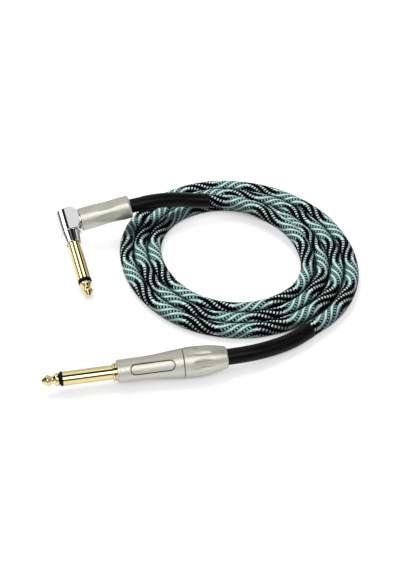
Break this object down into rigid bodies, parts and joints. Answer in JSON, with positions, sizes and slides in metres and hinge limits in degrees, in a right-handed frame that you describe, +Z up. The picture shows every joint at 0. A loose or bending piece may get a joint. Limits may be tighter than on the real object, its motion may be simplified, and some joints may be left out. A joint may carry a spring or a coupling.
{
  "type": "instrument cable",
  "caption": "Instrument cable: a straight plug and a right-angle plug on a woven cord that lies in a loose flat coil; the tail nut and the barrel unscrew and draw their cord clamps back.",
  "frame": {"origin": "on the floor under the middle of the two plugs' bounding box", "axes": "+Z up; +X from the pins' side towards the cord, to the viewer's right; +Y away from the viewer, from the straight plug to the angle plug"},
  "size_m": [0.1437, 0.1408, 0.0215],
  "materials": {
    "black_plastic": "black moulded plastic",
    "gold": "polished gold plating on brass",
    "satin_nickel": "fine satin nickel plating",
    "polished_chrome": "polished chrome plating",
    "tinned_brass": "tinned sheet brass",
    "shrink_sleeve": "black shrink sleeve, half gloss",
    "woven_cord": "woven yarn, mint and black in waves",
    "wire_insulation": "milky plastic insulation",
    "copper_shield": "twisted copper shield"
  },
  "bodies": {
    "cable": {"straight_tip": "gold", "straight_insulator": "black_plastic", "straight_sleeve": "gold", "straight_rear_washer": "black_plastic", "straight_tip_lug": "tinned_brass", "straight_ground_lug": "tinned_brass", "straight_shell": "satin_nickel", "straight_boot": "shrink_sleeve", "straight_inner_jacket": "woven_cord", "straight_center_wire": "wire_insulation", "straight_shield_tail": "copper_shield", "angle_tip": "gold", "angle_insulator": "black_plastic", "angle_sleeve": "gold", "angle_rear_washer": "black_plastic", "angle_tip_lug": "tinned_brass", "angle_ground_lug": "tinned_brass", "angle_housing": "polished_chrome", "angle_cap": "polished_chrome", "angle_boot": "shrink_sleeve", "angle_inner_jacket": "woven_cord", "angle_center_wire": "wire_insulation", "angle_shield_tail": "copper_shield", "cord_angle_lead": "woven_cord", "cord_coil": "woven_cord", "cord_straight_lead": "woven_cord"},
    "straight_clamp": {"straight_chuck": "black_plastic"},
    "straight_nut": {"tail_nut": "satin_nickel"},
    "angle_clamp": {"angle_chuck": "black_plastic"},
    "angle_barrel": {"angle_barrel": "satin_nickel"}
  },
  "joints": [
    {"name": "straight_nut_travel", "type": "slide", "parent": "cable", "child": "straight_clamp", "axis": [0.9842, 0.1771, 0], "range_m": [0, 0.004]},
    {"name": "straight_nut_turn", "type": "hinge", "parent": "straight_clamp", "child": "straight_nut", "pos_m": [0.0301, -0.04154, 0.00662], "axis": [0.9842, 0.1771, 0], "range_deg": [0, 1439]},
    {"name": "angle_barrel_travel", "type": "slide", "parent": "cable", "child": "angle_clamp", "axis": [0.957, 0.2636, 0.1208], "range_m": [0, 0.004]},
    {"name": "angle_barrel_turn", "type": "hinge", "parent": "angle_clamp", "child": "angle_barrel", "pos_m": [-0.01583, 0.04796, 0.01472], "axis": [0.957, 0.2636, 0.1208], "range_deg": [0, 1439]}
  ],
  "couplings": [
    {"joint": "straight_nut_travel", "follows": "straight_nut_turn", "m_per_rad": 0.00015915},
    {"joint": "angle_barrel_travel", "follows": "angle_barrel_turn", "m_per_rad": 0.00015915}
  ]
}
